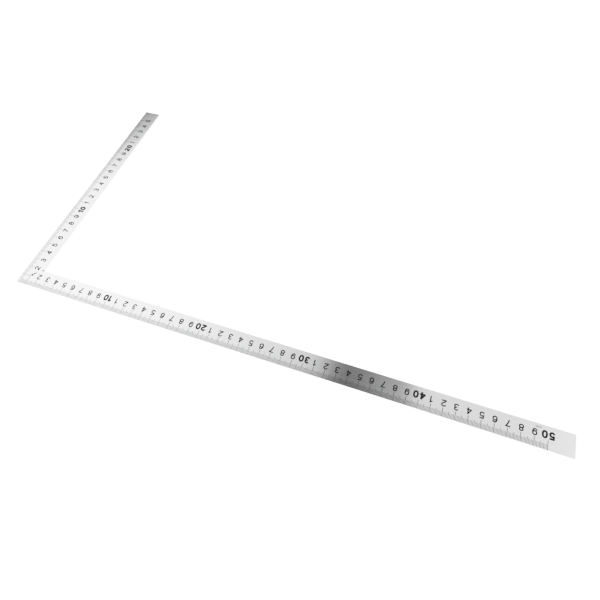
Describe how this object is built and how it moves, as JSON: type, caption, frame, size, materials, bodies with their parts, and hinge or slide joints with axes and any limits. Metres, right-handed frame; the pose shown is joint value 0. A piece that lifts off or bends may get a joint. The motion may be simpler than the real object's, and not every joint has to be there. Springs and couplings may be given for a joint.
{
  "type": "steel square ruler",
  "caption": "Flat L-shaped steel layout square: a long and a short arm at a right angle, with centimetre and millimetre scales along both outer edges.",
  "frame": {"origin": "outer heel corner on the underside, where both scales start from zero", "axes": "+X along the long arm's outer edge towards its tip, +Y along the short arm's outer edge towards its tip, +Z out of the graduated face"},
  "size_m": [0.52, 0.265, 0.0014],
  "materials": {
    "blade_steel": "fine satin brushed stainless steel, bright, with the grain along the long arm on both arms",
    "scale_ink": "matte black fill of the graduations and numerals, in the visual model only"
  },
  "bodies": {
    "root": {"long_arm": "blade_steel", "short_arm": "blade_steel"}
  },
  "joints": []
}
